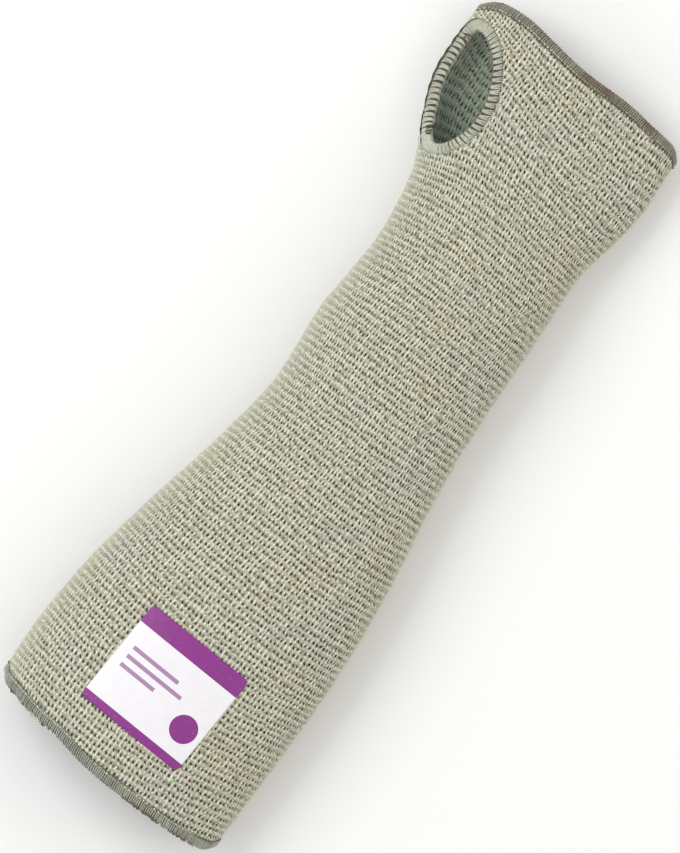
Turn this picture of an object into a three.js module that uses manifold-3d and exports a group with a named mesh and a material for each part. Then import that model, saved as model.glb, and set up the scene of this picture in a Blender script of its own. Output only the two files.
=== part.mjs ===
import * as THREE from "three";
import Module from "manifold-3d";

// Cut resistant sleeve
// A tube knitted in one piece, worn from the palm to just below the elbow. It lies on its back with
// its length along +Y, the hand end at +Y and the thumb hole towards -X. Each end has an overlocked
// hem, the thumb hole has a bound edge, and a film label lies near the arm end.

// Lengths and thicknesses, in millimetres
const sleeveLength = 360;
const knitThickness = 1.8;
const clearance = 0.3;

// Width and height of the tube at its four named places
const armPlace = { width: 117, height: 49 };
const forearmPlace = { width: 83.5, height: 46 };
const wristPlace = { width: 80, height: 45 };
const handPlace = { width: 107, height: 31 };

// The cloth is pressed flat where it lies, and leaves the floor in a soft bend this high
const bendHeight = 8;

// Hems. A swing is how far the edge strays from a straight cut
const armHemWidth = 4.6;
const armHemThickness = 3;
const armHemSwing = 14.3;
const handHemWidth = 4;
const handHemThickness = 2.8;
const handHemSwing = 8.3;

// Thumb hole, over its binding. It is placed by its middle, measured round the skin from the crest
// and along the sleeve from the hand end
const thumbHoleLength = 60;
const thumbHoleSpan = 37;
const thumbHoleFromCrest = 41.5;
const thumbHoleFromHandEnd = 35.5;
const thumbHoleLean = 2.5;
const thumbHoleBow = 4;
const bindingWidth = 5.3;
const bindingThickness = 3;

// Label, placed by its middle in the same way
const labelWidth = 52;
const labelLength = 48.5;
const labelThickness = 0.5;
const labelFromArmEnd = 47;
const labelFromCrest = -1.7;
const labelTurn = THREE.MathUtils.degToRad(-4.7);
const labelCorner = 2;

// How finely each surface is divided
const roundTube = 48;
const alongTube = 36;
const outlineSteps = 180;
const hemSides = 8;
const bindingSteps = 44;
const bindingSides = 8;
const labelSteps = 12;

// Sections of the tube. along is a share of the sleeve's length from the arm end; wide and tall are
// shares of the named place's own sizes; shift moves the middle towards +X, as a share of the width;
// side is the height of the widest point, as a share of the height; press is how far the cloth would
// reach below the floor if it weren't pressed flat, as a share of that widest point's height
const stations = [
  { along: 0.0, place: armPlace, wide: 0.975, tall: 0.95, shift: -0.041, side: 0.36, press: 0.22 },
  { along: 0.1, place: armPlace, wide: 1.0, tall: 0.99, shift: -0.039, side: 0.36, press: 0.22 },
  { along: 0.2, place: armPlace, wide: 0.982, tall: 1.0, shift: -0.021, side: 0.37, press: 0.22 },
  { along: 0.3, place: armPlace, wide: 0.914, tall: 1.0, shift: 0.007, side: 0.38, press: 0.22 },
  { along: 0.4, place: forearmPlace, wide: 1.136, tall: 1.04, shift: 0.036, side: 0.39, press: 0.2 },
  { along: 0.5, place: forearmPlace, wide: 1.006, tall: 1.0, shift: 0.049, side: 0.4, press: 0.2 },
  { along: 0.6, place: forearmPlace, wide: 0.998, tall: 0.99, shift: 0.03, side: 0.4, press: 0.2 },
  { along: 0.7, place: wristPlace, wide: 1.0, tall: 1.0, shift: 0.051, side: 0.4, press: 0.2 },
  { along: 0.75, place: wristPlace, wide: 1.01, tall: 0.95, shift: 0.039, side: 0.4, press: 0.2 },
  { along: 0.8, place: wristPlace, wide: 1.056, tall: 0.88, shift: 0.018, side: 0.4, press: 0.2 },
  { along: 0.85, place: handPlace, wide: 0.905, tall: 1.13, shift: -0.01, side: 0.4, press: 0.2 },
  { along: 0.9, place: handPlace, wide: 0.991, tall: 1.0, shift: -0.025, side: 0.41, press: 0.2 },
  { along: 0.95, place: handPlace, wide: 0.998, tall: 0.95, shift: -0.031, side: 0.42, press: 0.2 },
  { along: 1.0, place: handPlace, wide: 0.98, tall: 0.92, shift: -0.026, side: 0.42, press: 0.2 },
].map(({ along, place, wide, tall, shift, side, press }) => ({
  along,
  width: wide * place.width,
  height: tall * place.height,
  middle: shift * wide * place.width,
  side,
  press,
}));

// Edges of the hems. around is a share of the way round, from the middle of the back by +X and the
// crest at 0.5 to -X; reach is how far the edge lies beyond its place at the crest, as a share of
// the hem's swing
const armEdge = [
  { around: 0.0, reach: -0.5 },
  { around: 0.12, reach: -0.42 },
  { around: 0.25, reach: -0.16 },
  { around: 0.285, reach: 0.04 },
  { around: 0.36, reach: 0.11 },
  { around: 0.43, reach: 0.07 },
  { around: 0.5, reach: 0.0 },
  { around: 0.545, reach: -0.13 },
  { around: 0.59, reach: -0.32 },
  { around: 0.64, reach: -0.43 },
  { around: 0.69, reach: -0.64 },
  { around: 0.72, reach: -0.74 },
  { around: 0.75, reach: -0.98 },
  { around: 0.88, reach: -0.8 },
];
const handEdge = [
  { around: 0.0, reach: -0.3 },
  { around: 0.12, reach: -0.65 },
  { around: 0.25, reach: -1.0 },
  { around: 0.285, reach: -0.58 },
  { around: 0.345, reach: -0.34 },
  { around: 0.4, reach: -0.11 },
  { around: 0.5, reach: 0.0 },
  { around: 0.575, reach: 0.32 },
  { around: 0.64, reach: 0.62 },
  { around: 0.69, reach: 0.58 },
  { around: 0.715, reach: 0.39 },
  { around: 0.75, reach: -0.05 },
  { around: 0.88, reach: -0.15 },
];

const fullTurn = 2 * Math.PI;

// Reads one column of a table between its rows, on a smooth curve through them
function readTable(rows, key, column, at) {
  let row = 1;
  while (row < rows.length - 1 && at > rows[row][key]) {
    row += 1;
  }
  const slopeAt = (index) => {
    const before = rows[Math.max(index - 1, 0)];
    const after = rows[Math.min(index + 1, rows.length - 1)];
    return (after[column] - before[column]) / (after[key] - before[key]);
  };
  const from = rows[row - 1];
  const to = rows[row];
  const step = to[key] - from[key];
  const share = THREE.MathUtils.clamp((at - from[key]) / step, 0, 1);
  const rise = share * share * (3 - 2 * share);
  const leave = share * (1 - share) * (1 - share) * step * slopeAt(row - 1);
  const arrive = share * share * (share - 1) * step * slopeAt(row);
  return from[column] + (to[column] - from[column]) * rise + leave + arrive;
}

// The same for a table that runs once round and meets itself
function readRound(rows, column, at) {
  const turned = (row, turns) => ({ ...row, around: row.around + turns });
  const wrapped = [turned(rows.at(-1), -1), ...rows, turned(rows[0], 1), turned(rows[1], 1)];
  return readTable(wrapped, "around", column, THREE.MathUtils.euclideanModulo(at, 1));
}

// Outline of the outer skin across the sleeve at y, with the length walked to each of its points
function makeOutline(y) {
  const read = (column) => readTable(stations, "along", column, y / sleeveLength);
  const height = read("height");
  const sideHeight = read("side") * height;
  const points = [];
  for (let step = 0; step <= outlineSteps; step += 1) {
    const angle = fullTurn * (step / outlineSteps - 0.25);
    const rise = Math.sin(angle);
    const reach = rise > 0 ? height - sideHeight : sideHeight * (1 + read("press"));
    const z = sideHeight + reach * rise;
    const x = read("middle") + (read("width") / 2) * Math.cos(angle);
    points.push(new THREE.Vector3(x, y, z * THREE.MathUtils.smoothstep(z, 0, bendHeight)));
  }
  const walked = [0];
  for (let step = 1; step <= outlineSteps; step += 1) {
    walked.push(walked[step - 1] + points[step].distanceTo(points[step - 1]));
  }
  return { points, walked, girth: walked[outlineSteps] };
}

const outlines = new Map();

function outlineAt(y) {
  const key = y.toFixed(4);
  if (!outlines.has(key)) {
    outlines.set(key, makeOutline(y));
  }
  return outlines.get(key);
}

function walkRound(y, around) {
  const { points, walked, girth } = outlineAt(y);
  const target = THREE.MathUtils.euclideanModulo(around, 1) * girth;
  let next = 1;
  while (next < outlineSteps && walked[next] < target) {
    next += 1;
  }
  const share = (target - walked[next - 1]) / (walked[next] - walked[next - 1]);
  return points[next - 1].clone().lerp(points[next], share);
}

// A point of the tube: y along it, around as a share of the girth, depth below the outer skin
function skin(y, around, depth) {
  const nearby = 1 / outlineSteps;
  const tangent = walkRound(y, around + nearby).sub(walkRound(y, around - nearby)).normalize();
  const outward = new THREE.Vector3(tangent.z, 0, -tangent.x);
  const point = walkRound(y, around).addScaledVector(outward, -depth);
  return { point, outward, tangent };
}

// Where a place measured from the crest towards the thumb side lies, as a share of the girth
function fromCrest(y, distance) {
  return 0.5 + distance / outlineAt(y).girth;
}

// Where the crest lies across the sleeve at y
function crestAt(y) {
  return readTable(stations, "along", "middle", y / sleeveLength);
}

// The two ends. side is -1 at the arm and 1 at the hand
const armEnd = {
  side: -1,
  edgeAt: (around) => -armHemSwing * readRound(armEdge, "reach", around),
  hemWidth: armHemWidth,
  hemThickness: armHemThickness,
};
const handEnd = {
  side: 1,
  edgeAt: (around) => sleeveLength + handHemSwing * readRound(handEdge, "reach", around),
  hemWidth: handHemWidth,
  hemThickness: handHemThickness,
};

// Joins loops of points, one after the other, into a closed surface. A round sweep meets itself, and
// any other ends in two strips, which suits a flat loop whose second half runs back under its first
function sweep(loops, isRound) {
  const size = loops[0].length;
  const positions = loops.flat().flatMap((point) => point.toArray());
  const faces = [];
  const addQuad = (a, b, c, d) => faces.push(a, b, c, a, c, d);
  const spans = isRound ? loops.length : loops.length - 1;
  for (let i = 0; i < spans; i += 1) {
    const here = i * size;
    const next = ((i + 1) % loops.length) * size;
    for (let j = 0; j < size; j += 1) {
      const k = (j + 1) % size;
      addQuad(here + j, next + j, next + k, here + k);
    }
  }
  if (!isRound) {
    const last = (loops.length - 1) * size;
    for (let j = 0; j < size / 2 - 1; j += 1) {
      addQuad(j, j + 1, size - 2 - j, size - 1 - j);
      addQuad(last + size - 1 - j, last + size - 2 - j, last + j + 1, last + j);
    }
  }
  return facingOut(positions, faces);
}

// Makes the geometry, turned inside out if its volume comes out negative
function facingOut(positions, faces) {
  const corner = (index) => new THREE.Vector3().fromArray(positions, 3 * faces[index]);
  let volume = 0;
  for (let i = 0; i < faces.length; i += 3) {
    volume += corner(i).dot(corner(i + 1).cross(corner(i + 2)));
  }
  const geometry = new THREE.BufferGeometry();
  geometry.setAttribute("position", new THREE.Float32BufferAttribute(positions, 3));
  geometry.setIndex(volume < 0 ? faces.toReversed() : faces);
  return geometry;
}

// An oval band across a piece of trim, with its first axis along its width
function ovalBand(middle, widthAxis, thicknessAxis, width, thickness, sides) {
  const loop = [];
  for (let side = 0; side < sides; side += 1) {
    const angle = fullTurn * ((side + 0.5) / sides);
    const point = middle.clone();
    point.addScaledVector(widthAxis, (Math.cos(angle) * width) / 2 / Math.cos(Math.PI / sides));
    point.addScaledVector(thicknessAxis, (Math.sin(angle) * thickness) / 2 / Math.cos(Math.PI / sides));
    loop.push(point);
  }
  return loop;
}

// Knitted tube, before the thumb hole is cut. Each loop runs up the outer skin and down the inner
function knitTube() {
  const endAt = (end, around) => end.edgeAt(around) - end.side * (end.hemWidth + clearance);
  const loops = [];
  for (let column = 0; column < roundTube; column += 1) {
    const around = column / roundTube;
    const from = endAt(armEnd, around);
    const to = endAt(handEnd, around);
    const outer = [];
    const inner = [];
    for (let row = 0; row <= alongTube; row += 1) {
      const y = THREE.MathUtils.lerp(from, to, row / alongTube);
      outer.push(skin(y, around, 0).point);
      inner.unshift(skin(y, around, knitThickness).point);
    }
    loops.push([...outer, ...inner]);
  }
  return sweep(loops, true);
}

// Overlocked hem, which carries the tube's wall on to its edge and is pressed flat on the floor
function hem(end) {
  const alongAxis = new THREE.Vector3(0, end.side, 0);
  const loops = [];
  for (let column = 0; column < roundTube; column += 1) {
    const around = column / roundTube;
    const y = end.edgeAt(around) - (end.side * end.hemWidth) / 2;
    const { point, outward } = skin(y, around, knitThickness / 2);
    const loop = ovalBand(point, alongAxis, outward, end.hemWidth, end.hemThickness, hemSides);
    loop.forEach((corner) => corner.setZ(Math.max(corner.z, 0)));
    loops.push(loop);
  }
  return sweep(loops, true);
}

// Edge of the thumb hole on the middle of the wall, where turn runs once round the hole from the
// side that is nearest to the back
function thumbEdge(turn) {
  const angle = fullTurn * turn;
  const rise = Math.sin(angle);
  const y = sleeveLength - thumbHoleFromHandEnd + (thumbHoleLength / 2) * rise;
  const bow = thumbHoleLean * rise + thumbHoleBow * rise * rise;
  const distance = thumbHoleFromCrest + bow + (thumbHoleSpan / 2) * Math.cos(angle);
  return skin(y, fromCrest(y, distance), knitThickness / 2);
}

const thumbMiddle = thumbEdge(0).point.lerp(thumbEdge(0.5).point, 0.5);

// Frames round the thumb hole: the edge, the way into the hole and the way out of the cloth
function thumbFrames() {
  const frames = [];
  for (let step = 0; step < bindingSteps; step += 1) {
    const turn = step / bindingSteps;
    const { point, outward } = thumbEdge(turn);
    const ahead = thumbEdge(turn + 0.5 / bindingSteps).point;
    const behind = thumbEdge(turn - 0.5 / bindingSteps).point;
    const onward = ahead.sub(behind).normalize();
    const inward = thumbMiddle.clone().sub(point);
    inward.addScaledVector(onward, -inward.dot(onward)).normalize();
    const proud = new THREE.Vector3().crossVectors(onward, inward);
    proud.multiplyScalar(Math.sign(proud.dot(outward)));
    frames.push({ point, outward, inward, proud });
  }
  return frames;
}

// Binding of the thumb hole, a flat rounded band that leans in towards the middle of the hole
function thumbBinding(grown) {
  const loops = thumbFrames().map(({ point, inward, proud }) => {
    const middle = point.clone().addScaledVector(inward, bindingWidth / 2);
    const width = bindingWidth + 2 * grown;
    return ovalBand(middle, inward, proud, width, bindingThickness + 2 * grown, bindingSides);
  });
  return sweep(loops, true);
}

// Plug that takes the cloth out of the thumb hole. Its wall stands square on the skin, and each end
// closes in a cone that stays clear of the back of the sleeve
function thumbPlug() {
  const frames = thumbFrames();
  const wallReach = 2.2 * knitThickness;
  const outerTip = 7.5 * knitThickness;
  const innerTip = 3 * knitThickness;
  const axis = new THREE.Vector3();
  frames.forEach(({ proud }) => axis.add(proud));
  axis.normalize();
  const positions = [];
  const faces = [];
  frames.forEach(({ point, outward }) => {
    positions.push(...point.clone().addScaledVector(outward, wallReach).toArray());
    positions.push(...point.clone().addScaledVector(outward, -wallReach).toArray());
  });
  const outerTipIndex = 2 * frames.length;
  const innerTipIndex = outerTipIndex + 1;
  positions.push(...thumbMiddle.clone().addScaledVector(axis, outerTip).toArray());
  positions.push(...thumbMiddle.clone().addScaledVector(axis, -innerTip).toArray());
  for (let step = 0; step < frames.length; step += 1) {
    const outer = 2 * step;
    const inner = outer + 1;
    const nextOuter = 2 * ((step + 1) % frames.length);
    const nextInner = nextOuter + 1;
    faces.push(outer, nextOuter, nextInner, outer, nextInner, inner);
    faces.push(outer, outerTipIndex, nextOuter);
    faces.push(inner, nextInner, innerTipIndex);
  }
  return facingOut(positions, faces);
}

// Film label that lies on the outer skin, with its corners cut round
function filmLabel() {
  const loops = [];
  for (let column = 0; column <= labelSteps; column += 1) {
    const across = (column / labelSteps - 0.5) * labelWidth;
    const intoCorner = Math.max(Math.abs(across) - labelWidth / 2 + labelCorner, 0);
    const cut = labelCorner - Math.sqrt(labelCorner ** 2 - intoCorner ** 2);
    const top = [];
    const underside = [];
    for (let row = 0; row <= labelSteps; row += 1) {
      const upward = (row / labelSteps - 0.5) * (labelLength - 2 * cut);
      const sideways = across * Math.cos(labelTurn) - upward * Math.sin(labelTurn);
      const y = labelFromArmEnd + across * Math.sin(labelTurn) + upward * Math.cos(labelTurn);
      const drift = crestAt(y) - crestAt(labelFromArmEnd);
      const around = fromCrest(y, labelFromCrest + drift - sideways);
      top.push(skin(y, around, -clearance - labelThickness).point);
      underside.unshift(skin(y, around, -clearance).point);
    }
    loops.push([...top, ...underside]);
  }
  return sweep(loops, false);
}

// Cuts away the second and later solids from the first
const manifoldLibrary = await Module();
manifoldLibrary.setup();

function solidOf(geometry) {
  const mesh = new manifoldLibrary.Mesh({
    numProp: 3,
    vertProperties: new Float32Array(geometry.attributes.position.array),
    triVerts: new Uint32Array(geometry.index.array),
  });
  return new manifoldLibrary.Manifold(mesh);
}

function cutAway(geometry, ...cutters) {
  let solid = solidOf(geometry);
  for (const cutter of cutters) {
    solid = solid.subtract(solidOf(cutter));
  }
  const { vertProperties, triVerts } = solid.getMesh();
  const cut = new THREE.BufferGeometry();
  cut.setAttribute("position", new THREE.Float32BufferAttribute(vertProperties, 3));
  cut.setIndex(Array.from(triVerts));
  return cut;
}

const knitYarn = new THREE.MeshStandardMaterial({ color: 0xa9aa97, roughness: 0.92, metalness: 0 });
const hemThread = new THREE.MeshStandardMaterial({ color: 0x9c9c8e, roughness: 0.85, metalness: 0 });
const bindingThread = new THREE.MeshStandardMaterial({ color: 0xa3a692, roughness: 0.8, metalness: 0 });
const labelFilm = new THREE.MeshStandardMaterial({ color: 0xf1eff2, roughness: 0.45, metalness: 0 });

const sleeve = new THREE.Group();

function addPiece(name, geometry, material) {
  geometry.computeVertexNormals();
  const piece = new THREE.Mesh(geometry, material);
  piece.name = name;
  sleeve.add(piece);
}

addPiece("knit_tube", cutAway(knitTube(), thumbPlug(), thumbBinding(clearance)), knitYarn);
addPiece("arm_hem", hem(armEnd), hemThread);
addPiece("hand_hem", hem(handEnd), hemThread);
addPiece("thumb_binding", thumbBinding(0), bindingThread);
addPiece("size_label", filmLabel(), labelFilm);

// The sleeve stands on z = 0 with the middle of its own box over the origin
const box = new THREE.Box3().setFromObject(sleeve);
sleeve.position.set(-(box.min.x + box.max.x) / 2, -(box.min.y + box.max.y) / 2, -box.min.z);

export default sleeve;
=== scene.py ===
import math

import bpy
import numpy as np
from mathutils import Matrix, Vector


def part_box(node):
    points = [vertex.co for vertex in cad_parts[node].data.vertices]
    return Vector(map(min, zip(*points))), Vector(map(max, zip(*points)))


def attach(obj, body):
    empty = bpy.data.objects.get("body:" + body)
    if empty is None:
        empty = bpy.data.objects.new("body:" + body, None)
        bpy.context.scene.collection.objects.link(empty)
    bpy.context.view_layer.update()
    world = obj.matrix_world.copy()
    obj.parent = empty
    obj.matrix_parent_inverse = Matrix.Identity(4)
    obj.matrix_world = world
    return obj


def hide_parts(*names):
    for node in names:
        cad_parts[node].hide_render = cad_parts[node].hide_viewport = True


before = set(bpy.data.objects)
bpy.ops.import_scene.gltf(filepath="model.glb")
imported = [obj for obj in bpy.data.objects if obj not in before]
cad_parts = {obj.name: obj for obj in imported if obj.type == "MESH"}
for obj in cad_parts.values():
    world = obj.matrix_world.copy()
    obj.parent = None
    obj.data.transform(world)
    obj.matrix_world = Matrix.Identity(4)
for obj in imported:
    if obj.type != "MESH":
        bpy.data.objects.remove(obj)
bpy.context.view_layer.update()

# Lengths are in millimetres, with y along the crest from the arm end to the hand end. A place round the
# sleeve is a share of the girth, from the middle of the underside over the +X side to the crest at a half
# and on. metres() turns points into the frame's metres
MM = 0.001
SLEEVE_LENGTH = 360.0
KNIT_THICKNESS = 1.8
KNIT_UNDER_HEM = 1.0
PIECE_GAP = 0.3
BEND_HEIGHT = 8.0

# Width and height of the tube at its named places
SIZES = {
    "arm": (117.0, 49.0),
    "forearm": (83.5, 46.0),
    "wrist": (80.0, 45.0),
    "hand": (107.0, 31.0),
}

ARM_HEM_WIDTH = 4.6
ARM_HEM_THICKNESS = 3.0
ARM_HEM_SWING = 14.3
HAND_HEM_WIDTH = 4.0
HAND_HEM_THICKNESS = 2.8
HAND_HEM_SWING = 8.3

THUMB_HOLE_LENGTH = 60.0
THUMB_HOLE_SPAN = 37.0
THUMB_HOLE_FROM_CREST = 41.5
THUMB_HOLE_FROM_HAND_END = 35.5
THUMB_HOLE_LEAN = 2.5
THUMB_HOLE_BOW = 4.0
THUMB_HOLE_INSET = 0.1
BINDING_WIDTH = 5.3
BINDING_THICKNESS = 3.0

LABEL_WIDTH = 52.0
LABEL_LENGTH = 48.5
LABEL_FROM_ARM_END = 47.0
LABEL_FROM_CREST = -1.7
LABEL_TURN = math.radians(-4.7)
LABEL_CORNER = 2.0
LABEL_LIFT = 0.52
FILM_THICKNESS = 0.22

# What is printed on the label, from its middle: bands from low to high, bars from low to high and from
# left to right, and a dot
LABEL_BANDS = [(15.5, 25.0), (-25.0, -20.5)]
LABEL_BARS = [(4.2, 6.0, -21.0, 3.0), (-0.2, 1.6, -21.0, 8.0), (-4.6, -2.8, -21.0, -3.0)]
LABEL_DOT = (17.0, -8.5, 0.0)
LABEL_DOT_RADIUS = 6.2

# The knit. A wale is a column of loops along the sleeve, a course a row of them round it. Spare courses
# past both ends let the cloth reach under the hems everywhere. SPLIT_COURSES are those at which the outside
# is split into pieces
WALES = 136
COURSES = 115
SPARE_COURSES = 3
SPLIT_COURSES = (37, 78)
PIT_DEPTH = 0.55
PIT_SLANT = 0.22
RIDGE_HEIGHT = 0.22
REVERSE_RELIEF = 0.8

# The cores of the hems and the binding stay this far off the floor, so that thread covers them below too
CORE_CLEARANCE = 0.35

# Turns of the thread round the hems and the binding, and stitches of the threads along their edges
ARM_HEM_TURNS = 278
HAND_HEM_TURNS = 240
BINDING_TURNS = 66
HEM_STITCHES = 140
BINDING_STITCHES = 66

# Frays of the arm hem: first and last place round it, and how many
BROWN_FRAYS = [(0.29, 0.45, 60), (0.59, 0.7, 26), (0.0, 0.2, 16), (0.8, 1.0, 12)]
PALE_FRAYS = [(0.58, 0.69, 20), (0.3, 0.4, 5)]

# Sections of the tube: share of the length, named place, width and height as shares of that place's, shift
# towards +X as a share of the width, height of the widest line as a share of the height, and how far the
# oval would go below the floor that presses it flat, as a share of the widest line's height
STATIONS = [
    (0.0, "arm", 0.975, 0.95, -0.041, 0.36, 0.22),
    (0.1, "arm", 1.0, 0.99, -0.039, 0.36, 0.22),
    (0.2, "arm", 0.982, 1.0, -0.021, 0.37, 0.22),
    (0.3, "arm", 0.914, 1.0, 0.007, 0.38, 0.22),
    (0.4, "forearm", 1.136, 1.04, 0.036, 0.39, 0.2),
    (0.5, "forearm", 1.006, 1.0, 0.049, 0.4, 0.2),
    (0.6, "forearm", 0.998, 0.99, 0.03, 0.4, 0.2),
    (0.7, "wrist", 1.0, 1.0, 0.051, 0.4, 0.2),
    (0.75, "wrist", 1.01, 0.95, 0.039, 0.4, 0.2),
    (0.8, "wrist", 1.056, 0.88, 0.018, 0.4, 0.2),
    (0.85, "hand", 0.905, 1.13, -0.01, 0.4, 0.2),
    (0.9, "hand", 0.991, 1.0, -0.025, 0.41, 0.2),
    (0.95, "hand", 0.998, 0.95, -0.031, 0.42, 0.2),
    (1.0, "hand", 0.98, 0.92, -0.026, 0.42, 0.2),
]

# Edges of the hems: place round the sleeve, reach as a share of the hem's swing
ARM_EDGE = [
    (0.0, -0.5), (0.12, -0.42), (0.25, -0.16), (0.285, 0.04), (0.36, 0.11), (0.43, 0.07),
    (0.5, 0.0), (0.545, -0.13), (0.59, -0.32), (0.64, -0.43), (0.69, -0.64), (0.72, -0.74),
    (0.75, -0.98), (0.88, -0.8),
]
HAND_EDGE = [
    (0.0, -0.3), (0.12, -0.65), (0.25, -1.0), (0.285, -0.58), (0.345, -0.34), (0.4, -0.11),
    (0.5, 0.0), (0.575, 0.32), (0.64, 0.62), (0.69, 0.58), (0.715, 0.39), (0.75, -0.05),
    (0.88, -0.15),
]

# How the courses lie: share of the length, then the rise of a course for its run towards +X as a constant,
# a multiple of q and one of q squared, where q goes from -1 at one side of the sleeve to 1 at the other
COURSE_LIE = [
    (0.0, -0.03, 0.22, 0.0), (0.13, -0.02, 0.21, -0.03), (0.22, -0.07, 0.17, 0.02),
    (0.32, -0.06, 0.11, 0.01), (0.41, -0.065, 0.073, 0.06), (0.5, -0.055, 0.035, 0.055),
    (0.6, -0.06, -0.03, 0.055), (0.69, -0.084, -0.126, 0.116), (0.785, -0.11, -0.19, 0.18),
    (0.832, -0.14, -0.25, 0.3), (0.878, -0.21, -0.02, 0.12), (0.925, -0.25, 0.2, -0.04),
    (1.0, -0.15, 0.1, 0.0),
]


def smoothstep(low, high, value):
    share = np.clip((value - low) / (high - low), 0.0, 1.0)
    return share * share * (3.0 - 2.0 * share)


def read_table(rows, column, at):
    """A column of a table between its rows, on a smooth curve through them."""
    keys = np.array([row[0] for row in rows], float)
    values = np.array([row[column] for row in rows], float)
    before = np.maximum(np.arange(len(rows)) - 1, 0)
    after = np.minimum(np.arange(len(rows)) + 1, len(rows) - 1)
    slopes = (values[after] - values[before]) / (keys[after] - keys[before])
    at = np.clip(np.asarray(at, float), keys[0], keys[-1])
    to = np.clip(np.searchsorted(keys, at), 1, len(rows) - 1)
    step = keys[to] - keys[to - 1]
    share = (at - keys[to - 1]) / step
    rise = share * share * (3.0 - 2.0 * share)
    leave = share * (1.0 - share) ** 2 * step * slopes[to - 1]
    arrive = share * share * (share - 1.0) * step * slopes[to]
    return values[to - 1] + (values[to] - values[to - 1]) * rise + leave + arrive


def read_round(rows, at):
    """The same for a table of places that runs once round and meets itself."""
    wrapped = [(rows[-1][0] - 1.0, rows[-1][1]), *rows]
    wrapped += [(row[0] + 1.0, row[1]) for row in rows[:2]]
    return read_table(wrapped, 1, np.mod(at, 1.0))


def measured_section(along, place, wide, tall, shift, side, press):
    """A row of STATIONS with its width, height and shift in millimetres and without the place's name."""
    width, height = SIZES[place]
    return along, wide * width, tall * height, shift * wide * width, side, press


class Skin:
    """The outer skin of the tube, as a fine grid of points along the sleeve and round it."""

    LOW = -20.0
    HIGH = 380.0
    STEP = 1.0
    ROUND = 720

    def __init__(self):
        self.ys = np.arange(self.LOW, self.HIGH + self.STEP, self.STEP)
        sections = [measured_section(*row) for row in STATIONS]
        share = self.ys / SLEEVE_LENGTH
        width, height, middle, side, press = [
            read_table(sections, column, share)[:, None] for column in range(1, 6)
        ]
        angle = 2.0 * np.pi * (np.arange(2 * self.ROUND + 1) / (2 * self.ROUND) - 0.25)[None, :]
        rise = np.sin(angle)
        side_height = side * height
        reach = np.where(rise > 0.0, height - side_height, side_height * (1.0 + press))
        z = side_height + reach * rise
        z = z * smoothstep(0.0, BEND_HEIGHT, z)
        x = middle + width / 2.0 * np.cos(angle)
        walked = np.hypot(np.diff(x, axis=1), np.diff(z, axis=1)).cumsum(axis=1)
        walked = np.concatenate([np.zeros((len(self.ys), 1)), walked], axis=1)
        self.girths = walked[:, -1]
        self.middles = middle[:, 0]
        self.fields = self.even_fields(walked, x, z, angle)
        self.add_outward()

    def even_fields(self, walked, x, z, angle):
        """The sections with their points spread evenly along the girth."""
        shares = np.arange(self.ROUND + 1) / self.ROUND
        fields = {name: np.empty((len(self.ys), self.ROUND + 1)) for name in ("x", "z", "turn")}
        for row, length in enumerate(walked):
            target = shares * length[-1]
            fields["x"][row] = np.interp(target, length, x[row])
            fields["z"][row] = np.interp(target, length, z[row])
            fields["turn"][row] = np.interp(target, length, angle[0])
        return fields

    def add_outward(self):
        """The way out of the cloth at each point, across the sleeve."""
        once_x = self.fields["x"][:, :-1]
        once_z = self.fields["z"][:, :-1]
        onward_x = np.roll(once_x, -2, 1) - np.roll(once_x, 2, 1)
        onward_z = np.roll(once_z, -2, 1) - np.roll(once_z, 2, 1)
        length = np.hypot(onward_x, onward_z)
        for name, field in (("out_x", onward_z / length), ("out_z", -onward_x / length)):
            self.fields[name] = np.concatenate([field, field[:, :1]], axis=1)

    def read(self, name, y, around):
        """A field of the skin at any y and place round it."""
        field = self.fields[name]
        row = np.clip((y - self.LOW) / self.STEP, 0.0, len(self.ys) - 1.001)
        column = np.mod(around, 1.0) * self.ROUND
        r = row.astype(int)
        c = np.minimum(column.astype(int), self.ROUND - 1)
        past_row = row - r
        past_column = column - c
        low = field[r, c] * (1.0 - past_column) + field[r, c + 1] * past_column
        high = field[r + 1, c] * (1.0 - past_column) + field[r + 1, c + 1] * past_column
        return low * (1.0 - past_row) + high * past_row

    def girth(self, y):
        return np.interp(y, self.ys, self.girths)

    def middle(self, y):
        return np.interp(y, self.ys, self.middles)

    def outward(self, y, around):
        out_x = self.read("out_x", y, around)
        out_z = self.read("out_z", y, around)
        out = np.stack([out_x, np.zeros_like(y), out_z], -1)
        return out / np.linalg.norm(out, axis=-1, keepdims=True)

    def point(self, y, around, lift):
        """Points that stand off the skin by lift."""
        y, around = np.broadcast_arrays(np.asarray(y, float), np.asarray(around, float))
        base = np.stack([self.read("x", y, around), y, self.read("z", y, around)], -1)
        return base + self.outward(y, around) * np.asarray(lift, float)[..., None]


skin = Skin()


def arm_edge(around):
    return -ARM_HEM_SWING * read_round(ARM_EDGE, around)


def hand_edge(around):
    return SLEEVE_LENGTH + HAND_HEM_SWING * read_round(HAND_EDGE, around)


def frame_shift():
    """The way from the lengths used here to the frame, read from the boxes of the solids. The solid tube
    has this many columns and rows of points."""
    columns, rows = 48, 37
    around = np.arange(columns) / columns
    hand_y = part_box("hand_hem")[1].y / MM - hand_edge(around).max()
    share = np.arange(rows)[:, None] / (rows - 1)
    start = arm_edge(around) + ARM_HEM_WIDTH + PIECE_GAP
    end = hand_edge(around) - HAND_HEM_WIDTH - PIECE_GAP
    grid = skin.point(start + (end - start) * share, around[None, :], 0.0)
    low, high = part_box("knit_tube")
    side_x = (low.x + high.x) / 2.0 / MM - (grid[..., 0].min() + grid[..., 0].max()) / 2.0
    return np.array([side_x, hand_y, 0.0])


SHIFT = frame_shift()


def metres(points):
    return (np.asarray(points) + SHIFT) * MM


def from_crest(y, distance):
    return 0.5 + distance / skin.girth(y)


# Meshes


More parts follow.
